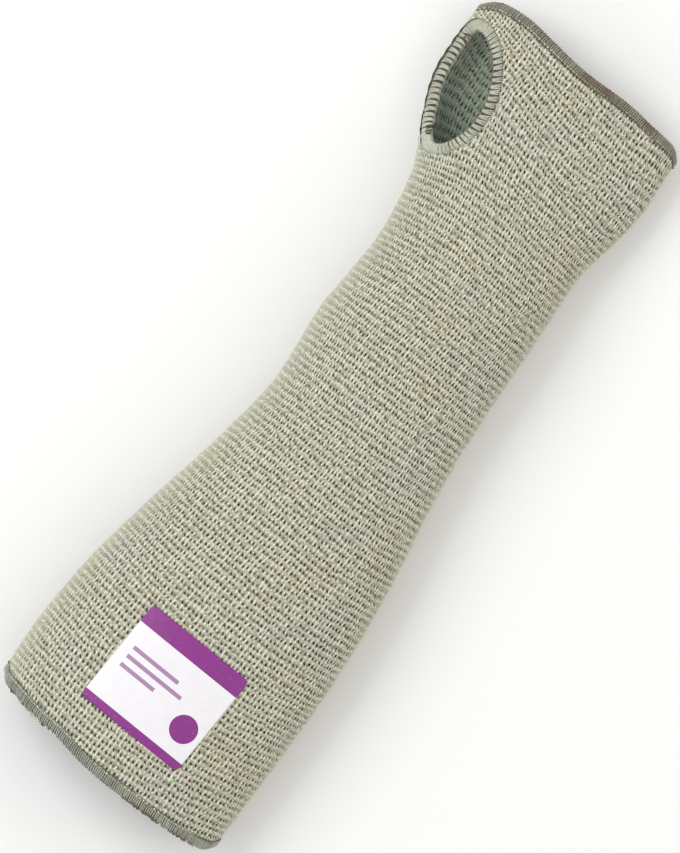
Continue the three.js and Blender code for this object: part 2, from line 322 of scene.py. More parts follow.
def grid_faces(rows, columns, rows_meet=False, columns_meet=False):
    """Faces of a grid of points, which may run round and meet itself either way."""
    spans = rows if rows_meet else rows - 1
    gaps = columns if columns_meet else columns - 1
    r, c = np.meshgrid(np.arange(spans), np.arange(gaps), indexing="ij")
    next_r = (r + 1) % rows
    next_c = (c + 1) % columns
    corners = [r * columns + c, r * columns + next_c, next_r * columns + next_c, next_r * columns + c]
    return np.stack(corners, -1).reshape(-1, 4)


def make_mesh(name, points, faces, uvs=None, marks=None):
    """An object of these points in millimetres. uvs maps a layer's name to a pair for each corner, and
    marks maps an attribute's name to a number for each point."""
    mesh = bpy.data.meshes.new(name)
    mesh.vertices.add(len(points))
    mesh.vertices.foreach_set("co", metres(points).astype(np.float32).ravel())
    sides = faces.shape[1]
    mesh.loops.add(faces.size)
    mesh.loops.foreach_set("vertex_index", faces.astype(np.int32).ravel())
    mesh.polygons.add(len(faces))
    mesh.polygons.foreach_set("loop_start", np.arange(0, faces.size, sides, dtype=np.int32))
    mesh.polygons.foreach_set("use_smooth", np.full(len(faces), True))
    for layer_name, pairs in (uvs or {}).items():
        layer = mesh.uv_layers.new(name=layer_name)
        layer.data.foreach_set("uv", pairs.astype(np.float32).ravel())
    for mark_name, numbers in (marks or {}).items():
        mark = mesh.attributes.new(mark_name, "FLOAT", "POINT")
        mark.data.foreach_set("value", numbers.astype(np.float32).ravel())
    mesh.update(calc_edges=True)
    mesh.validate()
    piece = bpy.data.objects.new(name, mesh)
    bpy.context.scene.collection.objects.link(piece)
    return piece


def join(parts):
    """Points and faces of several meshes as one."""
    points = []
    faces = []
    start = 0
    for part_points, part_faces in parts:
        points.append(part_points)
        faces.append(part_faces + start)
        start += len(part_points)
    return np.concatenate(points), np.concatenate(faces)


def finish_piece(piece, material, slot, *nodes):
    """Gives a piece its material, hangs it on the root body and hides the solids it stands for. slot is not
    used.
    """
    piece.data.materials.append(material)
    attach(piece, "root")
    if nodes:
        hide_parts(*nodes)


# Knit


def course_y(course, around):
    """Where a course lies along the sleeve. The courses lie a little closer near the hems."""
    share = course / COURSES
    start = ARM_HEM_WIDTH - KNIT_UNDER_HEM
    end = SLEEVE_LENGTH - HAND_HEM_WIDTH + KNIT_UNDER_HEM
    plain = start + (end - start) * (share - 0.006 * np.sin(2.0 * np.pi * share))
    widths = [(row[0], SIZES[row[1]][0] * row[2]) for row in STATIONS]
    q = np.cos(skin.read("turn", plain, around))
    rises = [read_table(COURSE_LIE, column, share) for column in (1, 2, 3)]
    drift = rises[0] * q + rises[1] * q * q / 2.0 + rises[2] * q**3 / 3.0
    return plain + drift * read_table(widths, 1, share) / 2.0


def trim_at_hems(y, around):
    """Cuts the knit off under the hems, and tells which points lie past the cut at either end."""
    start = arm_edge(around) + ARM_HEM_WIDTH - KNIT_UNDER_HEM
    end = hand_edge(around) - HAND_HEM_WIDTH + KNIT_UNDER_HEM
    return np.clip(y, start, end), y <= start, y >= end


def wale_around(wale, course):
    """Place round the sleeve where a wale lies. The wales lean a little towards +X in the forearm."""
    return wale / WALES - 0.045 * smoothstep(0.25, 0.8, course / COURSES)


def cloudy(wale, course, spread_wales, spread_courses, seed):
    """Smooth random values from -1 to 1 that meet themselves round the sleeve."""
    random = np.random.RandomState(seed)
    columns = max(int(WALES / spread_wales), 2)
    rows = int(COURSES / spread_courses) + 3
    grid = random.uniform(-1.0, 1.0, (rows, columns))
    u = np.mod(wale / WALES, 1.0) * columns
    v = course / spread_courses
    c = np.floor(u).astype(int)
    r = np.clip(np.floor(v).astype(int), 0, rows - 2)
    share_u = smoothstep(0.0, 1.0, u - c)
    share_v = smoothstep(0.0, 1.0, v - r)
    this = c % columns
    following = (c + 1) % columns
    low = grid[r, this] * (1.0 - share_u) + grid[r, following] * share_u
    high = grid[r + 1, this] * (1.0 - share_u) + grid[r + 1, following] * share_u
    return low * (1.0 - share_v) + high * share_v


def unevenness(wale, course):
    """How far the loops stray from straight rows: along the sleeve in mm and round it in wales. They stray
    more near the thumb hole and the hand end."""
    along = 0.5 * cloudy(wale, course, 8.0, 1.4, 3) + 0.22 * cloudy(wale, course, 2.4, 1.0, 4)
    aside = 0.3 * cloudy(wale, course, 4.0, 5.0, 5) + 0.12 * cloudy(wale, course, 1.5, 1.0, 6)
    more = 1.0 + 0.8 * smoothstep(0.76, 0.9, course / COURSES)
    return along * more, aside * more


def knit_relief(wale, course):
    """Height of the knit over the plain skin: a ridge to each course, and a pit to each loop."""
    random = np.random.RandomState(7)
    depths = random.uniform(0.55, 1.25, (COURSES + 1, WALES))
    loop_wale = np.floor(wale).astype(int) % WALES
    loop_course = np.clip(np.floor(course).astype(int), 0, COURSES)
    up = course - np.floor(course)
    across = wale - np.floor(wale) - PIT_SLANT * (up - 0.5)
    pit = (0.5 - 0.5 * np.cos(2.0 * np.pi * across)) * (0.5 - 0.5 * np.cos(2.0 * np.pi * up))
    ridge = 0.5 + 0.5 * np.cos(2.0 * np.pi * up)
    uneven = 0.14 * cloudy(wale, course, 1.7, 1.3, 11) + 0.16 * cloudy(wale, course, 9.0, 2.0, 12)
    strength = 1.0 + 0.25 * cloudy(wale, course, 18.0, 9.0, 13)
    return strength * (RIDGE_HEIGHT * ridge - PIT_DEPTH * depths[loop_course, loop_wale] * pit) + uneven


def thumb_hole_centre(rise):
    """Distance of the hole's middle line from the crest, for a rise from -1 at one tip to 1 at the other."""
    return THUMB_HOLE_FROM_CREST + THUMB_HOLE_LEAN * rise + THUMB_HOLE_BOW * rise * rise


def move_out_of_hole(y, around):
    """Moves points of the cloth that lie inside the thumb hole to its edge, and tells which they are."""
    distance = (np.mod(around, 1.0) - 0.5) * skin.girth(y)
    rise = (y - SLEEVE_LENGTH + THUMB_HOLE_FROM_HAND_END) / (THUMB_HOLE_LENGTH / 2.0)
    out = (distance - thumb_hole_centre(rise)) / (THUMB_HOLE_SPAN / 2.0)
    level = np.hypot(out, rise)
    edge = 1.0 - THUMB_HOLE_INSET / (THUMB_HOLE_SPAN / 2.0)
    inside = level < edge
    grow = np.where(inside, edge / np.maximum(level, 1e-6), 1.0)
    new_rise = rise * grow
    new_y = new_rise * THUMB_HOLE_LENGTH / 2.0 + SLEEVE_LENGTH - THUMB_HOLE_FROM_HAND_END
    new_distance = thumb_hole_centre(new_rise) + out * grow * THUMB_HOLE_SPAN / 2.0
    new_around = from_crest(new_y, new_distance)
    return np.where(inside, new_y, y), np.where(inside, new_around, around), inside


def knit_corners(faces, wale, course):
    """Wale and course at each corner of the faces, with the last face of a row ending at the last wale."""
    rows, columns = wale.shape
    u = np.concatenate([wale, np.full((rows, 1), float(WALES))], 1)
    v = np.concatenate([course, course[:, :1]], 1)
    corner_rows = faces // columns
    corner_columns = faces % columns
    wraps = (corner_columns == 0) & (corner_columns.max(axis=1, keepdims=True) == columns - 1)
    corner_columns = np.where(wraps, columns, corner_columns)
    return np.stack([u[corner_rows, corner_columns], v[corner_rows, corner_columns]], -1)


def knit_piece(name, first, last, per_wale, per_course, depth, inside_out):
    """The knit between two courses, with the thumb hole left out. It lies depth under the outer skin."""
    columns = WALES * per_wale
    rows = (last - first) * per_course + 1
    course = first + np.arange(rows)[:, None] / per_course
    wale = np.arange(columns)[None, :] / per_wale
    course, wale = np.broadcast_arrays(course, wale)
    stray_y, stray_wale = unevenness(wale, course)
    around = wale_around(wale + stray_wale, course)
    y = course_y(course, around) + stray_y
    y, before, past = trim_at_hems(y, around)
    y, around, in_hole = move_out_of_hole(y, around)
    relief = knit_relief(wale, course)
    lift = -depth - REVERSE_RELIEF * relief if inside_out else relief
    points = skin.point(y, around, lift)
    points[..., 2] = np.maximum(points[..., 2], 0.0)
    outward = skin.outward(y, around)
    # How much of the painted shade in the pits and grooves shows: all of it where the cloth faces up or
    # down, little at the sleeve's sides, where the cloth is seen edge-on and painted light takes its place,
    # and more on the +X side, as painted shade on the side away from the key light
    pit_shade_by_facing = np.abs(outward[..., 2]) + 0.3 * np.maximum(outward[..., 0], 0.0)
    faces = grid_faces(rows, columns, columns_meet=True)
    keep = np.ones(len(faces), bool)
    for cut in (in_hole, before, past):
        keep &= ~cut.ravel()[faces].all(axis=1)
    pairs = knit_corners(faces, wale, course)
    sheet = np.stack([pairs[..., 0] / WALES, (pairs[..., 1] - first) / (last - first)], -1) * 0.98 + 0.01
    if inside_out:
        faces = faces[:, ::-1]
        pairs = pairs[:, ::-1]
        sheet = sheet[:, ::-1]
    uvs = {"Wales": pairs[keep], "OFBake": sheet[keep]}
    used, flat = np.unique(faces[keep], return_inverse=True)
    points = points.reshape(-1, 3)[used]
    return make_mesh(name, points, flat.reshape(-1, 4), uvs, {"PitShadeByFacing": pit_shade_by_facing.reshape(-1)[used]})


# Hems and binding

# A place function takes shares of the way round, and gives the middle of the band there, the way to its edge
# and the way out of the cloth


def hem_place(y, around, edge_way):
    middle = skin.point(y, around, -KNIT_THICKNESS / 2.0)
    width_axis = np.zeros_like(middle)
    width_axis[..., 1] = edge_way
    return middle, width_axis, skin.outward(y, around)


def arm_place(turn):
    return hem_place(arm_edge(turn) + ARM_HEM_WIDTH / 2.0, turn, -1.0)


def hand_place(turn):
    return hem_place(hand_edge(turn) - HAND_HEM_WIDTH / 2.0, turn, 1.0)


def thumb_edge(turn):
    angle = 2.0 * np.pi * turn
    rise = np.sin(angle)
    y = SLEEVE_LENGTH - THUMB_HOLE_FROM_HAND_END + THUMB_HOLE_LENGTH / 2.0 * rise
    distance = thumb_hole_centre(rise) + THUMB_HOLE_SPAN / 2.0 * np.cos(angle)
    around = from_crest(y, distance)
    return skin.point(y, around, -KNIT_THICKNESS / 2.0), skin.outward(y, around)


def thumb_place(turn):
    """The binding's edge is the one inside the hole."""
    point, outward = thumb_edge(turn)
    onward = thumb_edge(turn + 0.004)[0] - thumb_edge(turn - 0.004)[0]
    onward /= np.linalg.norm(onward, axis=-1, keepdims=True)
    ends = thumb_edge(np.array([0.0, 0.5]))[0]
    inward = ends.mean(axis=0) - point
    inward -= onward * (inward * onward).sum(-1, keepdims=True)
    inward /= np.linalg.norm(inward, axis=-1, keepdims=True)
    proud = np.cross(onward, inward)
    proud *= np.sign((proud * outward).sum(-1, keepdims=True))
    return point + inward * BINDING_WIDTH / 2.0, inward, proud


def band_core(name, place, steps, width, thickness, sides=16):
    """The oval band of cloth under the wound thread."""
    middle, width_axis, thick_axis = place(np.arange(steps) / steps)
    angle = 2.0 * np.pi * np.arange(sides) / sides
    ring = middle[:, None, :] + width_axis[:, None, :] * (np.cos(angle) * width / 2.0)[None, :, None]
    ring = ring + thick_axis[:, None, :] * (np.sin(angle) * thickness / 2.0)[None, :, None]
    points = ring.reshape(-1, 3)
    points[:, 2] = np.maximum(points[:, 2], CORE_CLEARANCE)
    faces = grid_faces(steps, sides, True, True)
    return make_mesh(name, points, np.roll(faces[:, ::-1], 1, axis=1))


def thread_along(place, turn, out, up, radius, closed):
    """A thread at places round a band, out towards its edge and up from its middle. It stays off the
    floor."""
    middle, width_axis, thick_axis = place(turn)
    path = middle + width_axis * out[:, None]
    path = path + thick_axis * up[:, None]
    path[:, 2] = np.maximum(path[:, 2], radius)
    return tube_along(path, radius, 5, closed)


def tube_along(path, radius, sides, closed):
    """A tube along a path of points, which may close on itself."""
    if closed:
        onward = np.roll(path, -1, 0) - np.roll(path, 1, 0)
    else:
        onward = np.gradient(path, axis=0)
    onward /= np.maximum(np.linalg.norm(onward, axis=1, keepdims=True), 1e-9)
    guide = np.where(np.abs(onward[:, 2:3]) < 0.9, [[0.0, 0.0, 1.0]], [[1.0, 0.0, 0.0]])
    first = np.cross(onward, guide)
    first /= np.linalg.norm(first, axis=1, keepdims=True)
    second = np.cross(onward, first)
    angle = 2.0 * np.pi * np.arange(sides) / sides
    out = np.cos(angle)[None, :, None] * first[:, None, :]
    out = out + np.sin(angle)[None, :, None] * second[:, None, :]
    ring = path[:, None, :] + radius * out
    return ring.reshape(-1, 3), grid_faces(len(path), sides, closed, True)


def wound_thread(place, turns, width, thickness, radius, seed, strands=(0.0,), spread=0.4, lean=0.35,
                 gather=None, slant=0.0):
    """Overlock thread wound round a band. Each turn holds a few strands side by side. gather tells how
    far they draw together at the band's edge, for a share of the way round. slant is in turns."""
    random = np.random.RandomState(seed)
    steps = 16
    count = turns * steps
    index = np.arange(count)
    knots = np.arange(0, count + 1, steps)
    angle = 2.0 * np.pi * index / steps
    stray = np.interp(index, knots, random.uniform(-0.5, 0.5, turns + 1), period=count)
    lift = np.interp(index, knots, random.uniform(-0.12, 0.12, turns + 1), period=count)
    drawn = np.ones(count)
    if gather:
        drawn = 1.0 - gather(index / count) * smoothstep(-1.1, 0.8, np.cos(angle))
    lie = lean * np.sin(angle) + slant * np.cos(angle)
    out = np.cos(angle) * (width / 2.0 + lift)
    up = np.sin(angle) * (thickness / 2.0 + lift)
    parts = []
    for strand in strands:
        turn = (index / steps + lie + strand * drawn + spread * stray) / turns
        parts.append(thread_along(place, np.mod(turn, 1.0), out, up, radius, True))
    return join(parts)


def zigzag_thread(place, stitches, across, height, swing, radius, seed):
    """Looper thread that runs back and forth along one edge of a band."""
    random = np.random.RandomState(seed)
    steps = 6
    count = stitches * steps
    angle = 2.0 * np.pi * np.arange(count) / steps
    out = across + swing * np.sin(angle) + random.uniform(-0.12, 0.12, count)
    up = height + 0.1 * np.cos(2.0 * angle)
    return thread_along(place, np.arange(count) / count, out, up, radius, True)


def tack(place, at, loops, width, thickness, radius, seed):
    """A few loops of thread that fasten off the sewing at one place of a band."""
    random = np.random.RandomState(seed)
    steps = 12
    index = np.arange(loops * steps)
    angle = 2.0 * np.pi * index / steps
    knots = np.arange(loops + 1) * steps
    turn = at + np.interp(index, knots, random.uniform(-0.026, 0.026, loops + 1))
    reach = np.interp(index, knots, random.uniform(0.6, 1.0, loops + 1))
    out = width * (0.18 + 0.33 * np.cos(angle) * reach)
    up = (thickness / 2.0 + 0.1) * np.sin(angle) * reach
    return thread_along(place, turn, out, up, radius, False)


def frays(spans, reach, radius, seed):
    """Small loops of loose thread that stand off the arm hem's edge."""
    random = np.random.RandomState(seed)
    share = np.linspace(0.0, 1.0, 7)
    parts = []
    for first, last, number in spans:
        for at in random.uniform(first, last, number):
            bend = np.sin(np.pi * share) * random.uniform(0.4, 1.0) * reach
            turn = at + (share - 0.5) * random.uniform(0.002, 0.008)
            out = ARM_HEM_WIDTH / 2.0 - 0.5 + bend
            up = random.uniform(-0.5, 1.1) + 0.3 * share
            parts.append(thread_along(arm_place, turn, out, up, radius, False))
    return join(parts)


def ring_gather(turn):
    """The strands lie evenly at both ends of the thumb hole and gather in bunches between."""
    near_top = smoothstep(0.03, 0.1, np.abs(turn - 0.25))
    near_bottom = smoothstep(0.03, 0.1, np.abs(turn - 0.75))
    return 0.46 * near_top * near_bottom


# Label


def label_grid(steps):
    """Places on the film, across it and up it from its middle, with its corners rounded."""
    across, upward = np.meshgrid(np.linspace(-0.5, 0.5, steps + 1), np.linspace(-0.5, 0.5, steps + 1))
    across = across * LABEL_WIDTH
    upward = upward * LABEL_LENGTH
    into_corner = np.maximum(np.abs(across) - LABEL_WIDTH / 2.0 + LABEL_CORNER, 0.0)
    cut = LABEL_CORNER - np.sqrt(np.maximum(LABEL_CORNER**2 - into_corner**2, 0.0))
    return across, upward * (1.0 - 2.0 * cut / LABEL_LENGTH)


def film_faces(size):
    """Faces of two grids, one over the other, joined by a rim."""
    count = size * size
    face = grid_faces(size, size)
    rim = np.concatenate([
        np.arange(size), np.arange(1, size) * size + size - 1,
        count - 2 - np.arange(size - 1), (size - 2 - np.arange(size - 2)) * size,
    ])
    after = np.roll(rim, -1)
    sides = np.stack([rim, rim + count, after + count, after], -1)
    return np.concatenate([face, face[:, ::-1] + count, sides])


def label_piece():
    """The film, which takes up the ridges of the knit under it and lies lower along its edge."""
    steps = 96
    across, upward = label_grid(steps)
    sideways = across * math.cos(LABEL_TURN) - upward * math.sin(LABEL_TURN)
    y = LABEL_FROM_ARM_END + across * math.sin(LABEL_TURN) + upward * math.cos(LABEL_TURN)
    drift = skin.middle(y) - skin.middle(LABEL_FROM_ARM_END)
    around = from_crest(y, LABEL_FROM_CREST + drift - sideways)
    imprint = 0.07 * np.sin(2.0 * np.pi * y / 3.1) * np.cos(2.0 * np.pi * across / 2.0)
    near_edge = np.minimum(LABEL_WIDTH / 2.0 - np.abs(across), LABEL_LENGTH / 2.0 - np.abs(upward))
    lift = LABEL_LIFT + 0.5 * imprint - 0.12 * (1.0 - smoothstep(0.0, 0.8, near_edge))
    top = skin.point(y, around, lift).reshape(-1, 3)
    under = skin.point(y, around, lift - FILM_THICKNESS).reshape(-1, 3)
    faces = film_faces(steps + 1)
    spot = np.stack([across.ravel(), upward.ravel()], -1)
    pairs = np.concatenate([spot, spot])[faces]
    return make_mesh("film_label", np.concatenate([top, under]), faces, {"Print": pairs})


# Materials


def linear(code):
    """An sRGB hex value as linear red, green, blue and alpha."""
    parts = [int(code[i : i + 2], 16) / 255.0 for i in (1, 3, 5)]
    parts = [part / 12.92 if part <= 0.04045 else ((part + 0.055) / 1.055) ** 2.4 for part in parts]
    return (*parts, 1.0)


def add(tree, kind, *values, named=None, **settings):
    """Adds a node with its settings, and sets or links its inputs: values from the first input on, and
    named by name or number. Gives back the node's outputs."""
    node = tree.nodes.new("ShaderNode" + kind)
    for key, value in settings.items():
        setattr(node, key, value)
    inputs = dict(enumerate(values)) | (named or {})
    for key, value in inputs.items():
        if isinstance(value, bpy.types.NodeSocket):
            tree.links.new(value, node.inputs[key])
        else:
            node.inputs[key].default_value = value
    return node.outputs


# Inputs and output of a Mix node of colours
MIX_UNDER = 6
MIX_OVER = 7
MIX_RESULT = 2
COLOURS = {"data_type": "RGBA"}
SMOOTH = {"interpolation_type": "SMOOTHSTEP"}


def speckle(tree, size_mm, detail=2.0, roughness=0.5):
    """Noise whose lumps are about this many millimetres across."""
    spot = add(tree, "TexCoord")["Object"]
    scale = 1.0 / (size_mm * MM)
    noise = {"Vector": spot, "Scale": scale, "Detail": detail, "Roughness": roughness}
    return add(tree, "TexNoise", named=noise)[0]


def make_material(name, finish, *values):
    """A material whose finish fills its tree and gives the inputs of its shader."""
    material = bpy.data.materials.new(name)
    material.use_nodes = True
    tree = material.node_tree
    tree.nodes.clear()
    shader = add(tree, "BsdfPrincipled", named=finish(tree, *values))[0]
    add(tree, "OutputMaterial", shader)
    return material


def pit_place(tree, within, chance, strays):
    """Where a point lies from the pit of its loop: across the pit, which leans, and up it."""
    stray = add(tree, "VectorMath", strays, (0.26, 0.36, 0.0), operation="MULTIPLY")[0]
    centred = add(tree, "VectorMath", within, (0.63, 0.68, 0.0), operation="SUBTRACT")[0]
    centred = add(tree, "VectorMath", centred, stray, operation="ADD")[0]
    across, upward = add(tree, "SeparateXYZ", centred)[:2]
    slant = add(tree, "MapRange", chance, 0.0, 1.0, 0.1, -0.6, **SMOOTH)[0]
    return add(tree, "Math", upward, slant, across, operation="MULTIPLY_ADD")[0], upward


def loop_spot(tree, across, upward, fibre, wide, tall):
    """An oval spot in a loop, its edge broken up by the fibres. wide and tall are shares of the loop."""
    x = add(tree, "Math", across, wide, operation="DIVIDE")[0]
    y = add(tree, "Math", upward, tall, operation="DIVIDE")[0]
    length = add(tree, "VectorMath", add(tree, "CombineXYZ", x, y)[0], operation="LENGTH")[1]
    broken = add(tree, "Math", fibre, 1.1, length, operation="MULTIPLY_ADD")[0]
    return add(tree, "MapRange", broken, 1.75, 0.9, **SMOOTH)[0]


def pale_colour_and_highlights(tree, from_column, from_row, spot, loops, pit_shade_share):
    """How much pale colour shows: pale yarn along the courses and down the sides of the loops, a painted
    highlight in a spot under each pit, and painted light at the folds of the sleeve's sides, where the loops
    are seen from the side and the painted pit shade fades out."""
    ridge = add(tree, "MapRange", from_row, 0.22, 0.46, **SMOOTH)[0]
    side = add(tree, "MapRange", from_column, 0.2, 0.44, **SMOOTH)[0]
    gap = add(tree, "Math", 1.0, side, operation="SUBTRACT")[0]
    share = add(tree, "Math", pit_shade_share, 0.75, operation="MULTIPLY")[0]
    hollow = add(tree, "Math", gap, share, operation="MULTIPLY")[0]
    filled = add(tree, "Math", 1.0, hollow, operation="SUBTRACT")[0]
    patch = add(tree, "MapRange", loops, 0.36, 0.6, 0.15, 0.95, **SMOOTH)[0]
    along = add(tree, "Math", ridge, patch, operation="MULTIPLY")[0]
    along = add(tree, "Math", along, filled, operation="MULTIPLY")[0]
    patch = add(tree, "MapRange", loops, 0.4, 0.58, 0.05, 1.0, **SMOOTH)[0]
    down = add(tree, "Math", side, pit_shade_share, operation="MULTIPLY")[0]
    down = add(tree, "Math", down, patch, operation="MULTIPLY")[0]
    # The painted highlight under each pit
    under = add(tree, "Math", spot, 0.75, operation="MULTIPLY")[0]
    # Painted light at the folds, where the painted pit shade fades out
    closed = add(tree, "Math", 1.0, pit_shade_share, operation="SUBTRACT")[0]
    closed = add(tree, "Math", closed, 0.42, operation="MULTIPLY")[0]
    yarn_and_painted_light = along
    for other in (under, down, closed):
        yarn_and_painted_light = add(tree, "Math", yarn_and_painted_light, other, operation="MAXIMUM")[0]
    return yarn_and_painted_light


def knit_masks(tree, fibre, loops):
    """How much of each loop is dark pit, whose colour is painted shade over dark yarn, pale yarn with
    painted highlights and painted light, and grooves with painted shade.
    """
    place = add(tree, "UVMap", uv_map="Wales")["UV"]
    loop = add(tree, "VectorMath", place, operation="FLOOR")[0]
    within = add(tree, "VectorMath", place, operation="FRACTION")[0]
    chance, strays = add(tree, "TexWhiteNoise", loop, noise_dimensions="2D")[:2]
    pit_shade_by_facing = add(tree, "Attribute", attribute_name="PitShadeByFacing")["Fac"]
    pit_shade_share = add(tree, "MapRange", pit_shade_by_facing, 0.15, 0.95, 0.12, 1.0, **SMOOTH)[0]
    across, upward = pit_place(tree, within, chance, strays)
    # The pit mask is painted shade over dark yarn: darker in some pits at random, and faded at the sleeve's
    # sides
    deep = add(tree, "MapRange", chance, 0.0, 0.55, 0.4, 1.0, **SMOOTH)[0]
    pit = loop_spot(tree, across, upward, fibre, 0.27, 0.27)
    pit = add(tree, "Math", pit, deep, operation="MULTIPLY")[0]
    pit = add(tree, "Math", pit, pit_shade_share, operation="MULTIPLY")[0]
    from_middle = []
    for side in add(tree, "SeparateXYZ", within)[:2]:
        offset = add(tree, "Math", side, 0.5, operation="SUBTRACT")[0]
        from_middle.append(add(tree, "Math", offset, operation="ABSOLUTE")[0])
    # A painted highlight in a spot just under each pit
    below = add(tree, "Math", upward, 0.42, operation="ADD")[0]
    spot = loop_spot(tree, across, below, fibre, 0.28, 0.16)
    yarn_and_painted_light = pale_colour_and_highlights(tree, *from_middle, spot, loops, pit_shade_share)
    # Painted shade in the grooves between the rows of pits
    groove_shade = add(tree, "MapRange", from_middle[1], 0.3, 0.0, **SMOOTH)[0]
    patch = add(tree, "MapRange", loops, 0.68, 0.4, 0.05, 0.6, **SMOOTH)[0]
    groove_shade = add(tree, "Math", groove_shade, patch, operation="MULTIPLY")[0]
    groove_shade = add(tree, "Math", groove_shade, pit_shade_share, operation="MULTIPLY")[0]
    return pit, yarn_and_painted_light, groove_shade


def knit(tree, dark, shade, middle, bright, warm):
    """Plain knit of glass and polyethylene yarn, undyed. Its loops stand in ridges with a dark pit
    beside each, whose colour is painted shade over dark yarn, with painted shade in the grooves between.
    The cut fibres give it a heathered grey and, with their sheen and the painted light at the sleeve's
    sides, a soft pale edge."""
    # The fibres are finer than a pixel of the render, so their grains are drawn half a millimetre coarse
    fibre = speckle(tree, 0.5, 3.0, 0.7)
    loops = speckle(tree, 1.5, 2.0, 0.6)
    pit, yarn_and_painted_light, groove_shade = knit_masks(tree, fibre, loops)
    clouds = add(tree, "MapRange", speckle(tree, 26.0), 0.3, 0.7, **SMOOTH)[0]
    heather = add(tree, "MapRange", fibre, 0.58, 0.4, 0.0, 0.42, **SMOOTH)[0]
    colour = linear(middle)
    # The grooves' layer is painted shade, the pits' layer painted shade over dark yarn, and the pale layer
    # pale yarn with painted highlights and painted light at the sleeve's sides
    layers = [(clouds, warm), (groove_shade, shade), (yarn_and_painted_light, bright), (heather, shade), (pit, dark)]
    for amount, code in layers:
        mix = {0: amount, MIX_UNDER: colour, MIX_OVER: linear(code)}
        colour = add(tree, "Mix", named=mix, **COLOURS)[MIX_RESULT]
    height = add(tree, "Math", loops, 1.5, fibre, operation="MULTIPLY_ADD")[0]
    bump = add(tree, "Bump", named={"Height": height, "Strength": 0.85, "Distance": 0.0003})[0]
    return {
        "Base Color": colour, "Roughness": 0.86, "Sheen Weight": 0.5, "Sheen Roughness": 0.35,
        "Sheen Tint": linear("#E8ECDC"), "Specular IOR Level": 0.25, "Normal": bump,
    }


def thread(tree, pale, dull, grain_mm, brown_from):
    """Textured polyester thread. It is dull and fluffy, and browner where its patches rise above
    brown_from. Its filaments are too fine to show, so they are drawn as coarser grains."""
    fibre = speckle(tree, grain_mm, 3.0, 0.6)
    patches = add(tree, "MapRange", speckle(tree, 9.0), 0.4, 0.65, **SMOOTH)[0]
    worn = add(tree, "MapRange", fibre, 0.35, 0.7, 0.0, 0.5, **SMOOTH)[0]
    brown = add(tree, "MapRange", speckle(tree, 14.0, 1.0), brown_from, brown_from + 0.1, **SMOOTH)[0]
    brown = add(tree, "Math", brown, 0.7, operation="MULTIPLY")[0]
    colour = linear(pale)
    for amount, code in ((patches, dull), (worn, "#6F6B5C"), (brown, "#7C6350")):
        mix = {0: amount, MIX_UNDER: colour, MIX_OVER: linear(code)}
        colour = add(tree, "Mix", named=mix, **COLOURS)[MIX_RESULT]
    bump = add(tree, "Bump", named={"Height": fibre, "Strength": 0.6, "Distance": 0.00015})[0]
    return {
        "Base Color": colour, "Roughness": 0.8, "Sheen Weight": 0.2, "Sheen Roughness": 0.5,
        "Specular IOR Level": 0.3, "Normal": bump,
    }


def between(tree, value, low, high):
    above = add(tree, "Math", value, low, operation="GREATER_THAN")[0]
    below = add(tree, "Math", value, high, operation="LESS_THAN")[0]
    return add(tree, "Math", above, below, operation="MULTIPLY")[0]


def label_print(tree):
    """How much ink the film has at each place: two bands, three paler bars and a dot."""
    spot = add(tree, "UVMap", uv_map="Print")["UV"]
    across, upward = add(tree, "SeparateXYZ", spot)[:2]
    marks = [between(tree, upward, low, high) for low, high in LABEL_BANDS]
    for low, high, left, right in LABEL_BARS:
        tall = between(tree, upward, low, high)
        wide = between(tree, across, left, right)
        bar = add(tree, "Math", tall, wide, operation="MULTIPLY")[0]
        marks.append(add(tree, "Math", bar, 0.75, operation="MULTIPLY")[0])
    from_dot = add(tree, "VectorMath", spot, LABEL_DOT, operation="DISTANCE")[1]
    marks.append(add(tree, "Math", from_dot, LABEL_DOT_RADIUS, operation="LESS_THAN")[0])
    ink = marks[0]
    for mark in marks[1:]:
        ink = add(tree, "Math", ink, mark, operation="MAXIMUM")[0]
    return ink


def printed_film(tree):
    """Printed polypropylene film, stuck down. It is smooth and satin, and takes up the knit's ridges."""
    worn = add(tree, "MapRange", speckle(tree, 0.8, 3.0, 0.6), 0.62, 0.75, 1.0, 0.75, **SMOOTH)[0]
    ink = add(tree, "Math", label_print(tree), worn, operation="MULTIPLY")[0]
    colour = linear("#F4F2F5")
    for amount, code in ((speckle(tree, 6.0), "#E9E6EC"), (ink, "#8A3088")):
        mix = {0: amount, MIX_UNDER: colour, MIX_OVER: linear(code)}
        colour = add(tree, "Mix", named=mix, **COLOURS)[MIX_RESULT]
    bump = {"Height": speckle(tree, 1.8), "Strength": 0.35, "Distance": 0.0003}
    return {
        "Base Color": colour, "Roughness": 0.42, "Specular IOR Level": 0.4,
        "Normal": add(tree, "Bump", named=bump)[0],
    }


def matt_board(tree):
    """Painted board, matt and even, so that it shows shadows alone."""
    return {"Base Color": linear("#F6F6F6"), "Roughness": 0.9}


# Knit colours: pit (painted shade over dark yarn), shade (painted shade in the grooves, and the heather),
# middle, pale yarn (with painted highlights and side light) and warmer patches. The reverse side is greener
# and darker
knit_outside = make_material(
    "undyed_cut_resistant_knit", knit, "#22221A", "#75766A", "#AAAA98", "#FBF8E6", "#AEA98D",
)
knit_reverse = make_material(
    "knit_reverse_side", knit, "#353C34", "#737D6F", "#98A596", "#CBD6C4", "#979F8C",
)

